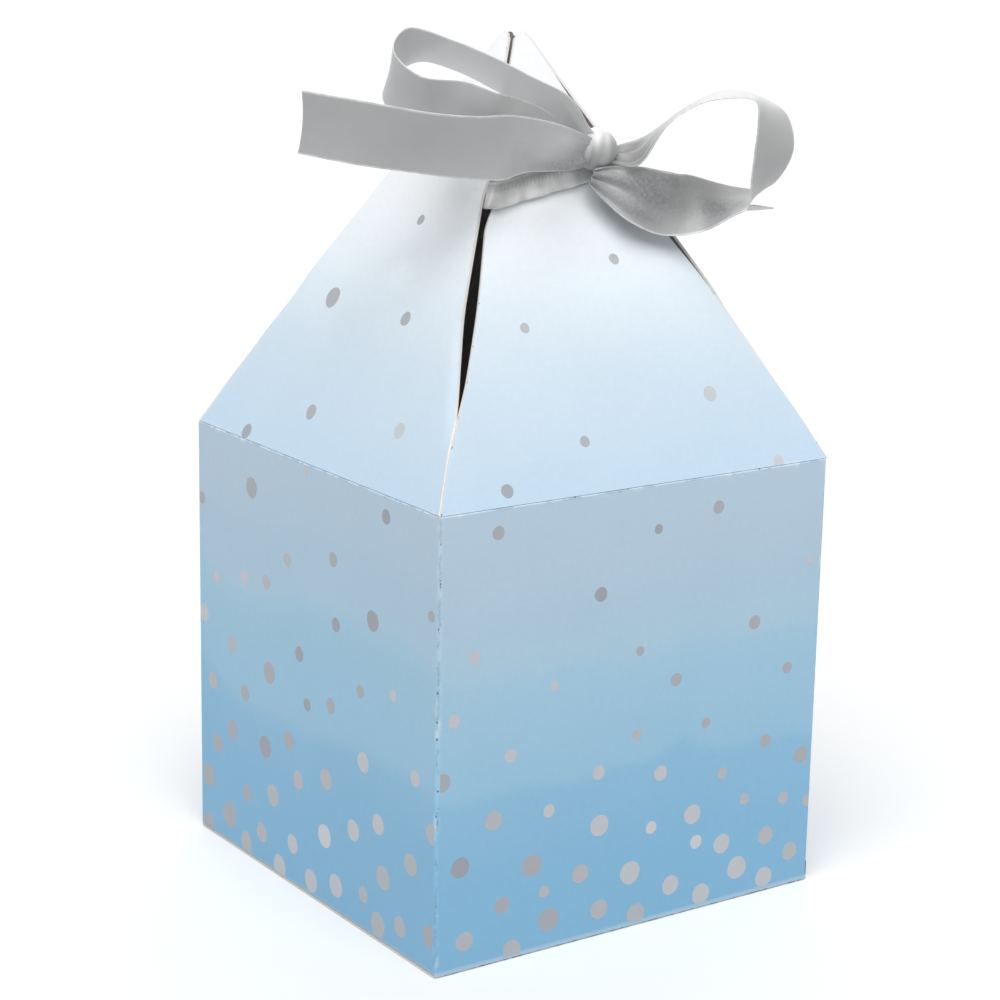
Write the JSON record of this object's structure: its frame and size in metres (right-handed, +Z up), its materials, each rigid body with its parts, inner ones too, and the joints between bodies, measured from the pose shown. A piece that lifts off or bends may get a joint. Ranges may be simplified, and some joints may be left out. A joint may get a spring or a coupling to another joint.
{
  "type": "gift box",
  "caption": "Square folding paperboard gift box whose triangular roof flaps draw together to a point, tied round the neck with a satin ribbon bow.",
  "frame": {"origin": "middle of the square footprint, on the surface that the box stands on", "axes": "+Z up; -Y out of the front wall, on whose roof flap the bow lies; +X to the right as seen from the front"},
  "size_m": [0.0911, 0.076, 0.1433],
  "materials": {
    "printed_board": "satin white board, printed sky blue that fades to white at the top, with matte silver dots",
    "plain_board": "uncoated white board, the carton's inside",
    "ribbon": "silver grey satin ribbon"
  },
  "bodies": {
    "carton": {"front_wall": "printed_board", "left_wall": "printed_board", "back_wall": "printed_board", "right_wall": "printed_board", "glue_tab": "plain_board"},
    "front_roof": {"front_roof_flap": "printed_board"},
    "left_roof": {"left_roof_flap": "printed_board"},
    "back_roof": {"back_roof_flap": "printed_board"},
    "right_roof": {"right_roof_flap": "printed_board"},
    "bottom": {"bottom_panel": "printed_board"},
    "tongue": {"tuck_tongue": "plain_board"},
    "left_dust": {"left_dust_flap": "plain_board"},
    "right_dust": {"right_dust_flap": "plain_board"},
    "ribbon": {"ribbon_band": "ribbon", "bow_knot": "ribbon", "left_loop": "ribbon", "right_loop": "ribbon", "left_tail": "ribbon", "right_tail": "ribbon"}
  },
  "joints": [
    {"name": "bow_lift", "type": "slide", "parent": "carton", "child": "ribbon", "axis": [0, 0, 1], "range_m": [0, 0.2]},
    {"name": "front_flap_fold", "type": "hinge", "parent": "carton", "child": "front_roof", "pos_m": [0, -0.03778, 0.0735], "axis": [1, 0, 0], "range_deg": [0, 60]},
    {"name": "back_flap_fold", "type": "hinge", "parent": "carton", "child": "back_roof", "pos_m": [0, 0.03778, 0.0735], "axis": [-1, 0, 0], "range_deg": [0, 60]},
    {"name": "left_flap_fold", "type": "hinge", "parent": "carton", "child": "left_roof", "pos_m": [-0.03778, 0, 0.0735], "axis": [0, -1, 0], "range_deg": [0, 120]},
    {"name": "right_flap_fold", "type": "hinge", "parent": "carton", "child": "right_roof", "pos_m": [0.03778, 0, 0.0735], "axis": [0, 1, 0], "range_deg": [0, 120]},
    {"name": "bottom_open", "type": "hinge", "parent": "carton", "child": "bottom", "pos_m": [0, -0.03778, 0.00022], "axis": [-1, 0, 0], "range_deg": [0, 110]},
    {"name": "tongue_fold", "type": "hinge", "parent": "bottom", "child": "tongue", "pos_m": [0, 0.03703, 0.00022], "axis": [-1, 0, 0], "range_deg": [0, 56]},
    {"name": "left_dust_fold", "type": "hinge", "parent": "carton", "child": "left_dust", "pos_m": [-0.03778, 0, 0.00077], "axis": [0, 1, 0], "range_deg": [0, 90]},
    {"name": "right_dust_fold", "type": "hinge", "parent": "carton", "child": "right_dust", "pos_m": [0.03778, 0, 0.00077], "axis": [0, -1, 0], "range_deg": [0, 90]}
  ],
  "couplings": [
    {"joint": "front_flap_fold", "follows": "bow_lift", "rad_per_m": 5.23},
    {"joint": "back_flap_fold", "follows": "bow_lift", "rad_per_m": 5.23},
    {"joint": "left_flap_fold", "follows": "bow_lift", "rad_per_m": 10.46},
    {"joint": "right_flap_fold", "follows": "bow_lift", "rad_per_m": 10.46},
    {"joint": "tongue_fold", "follows": "bottom_open", "ratio": 0.5},
    {"joint": "left_dust_fold", "follows": "bottom_open", "ratio": 0.8},
    {"joint": "right_dust_fold", "follows": "bottom_open", "ratio": 0.8}
  ]
}
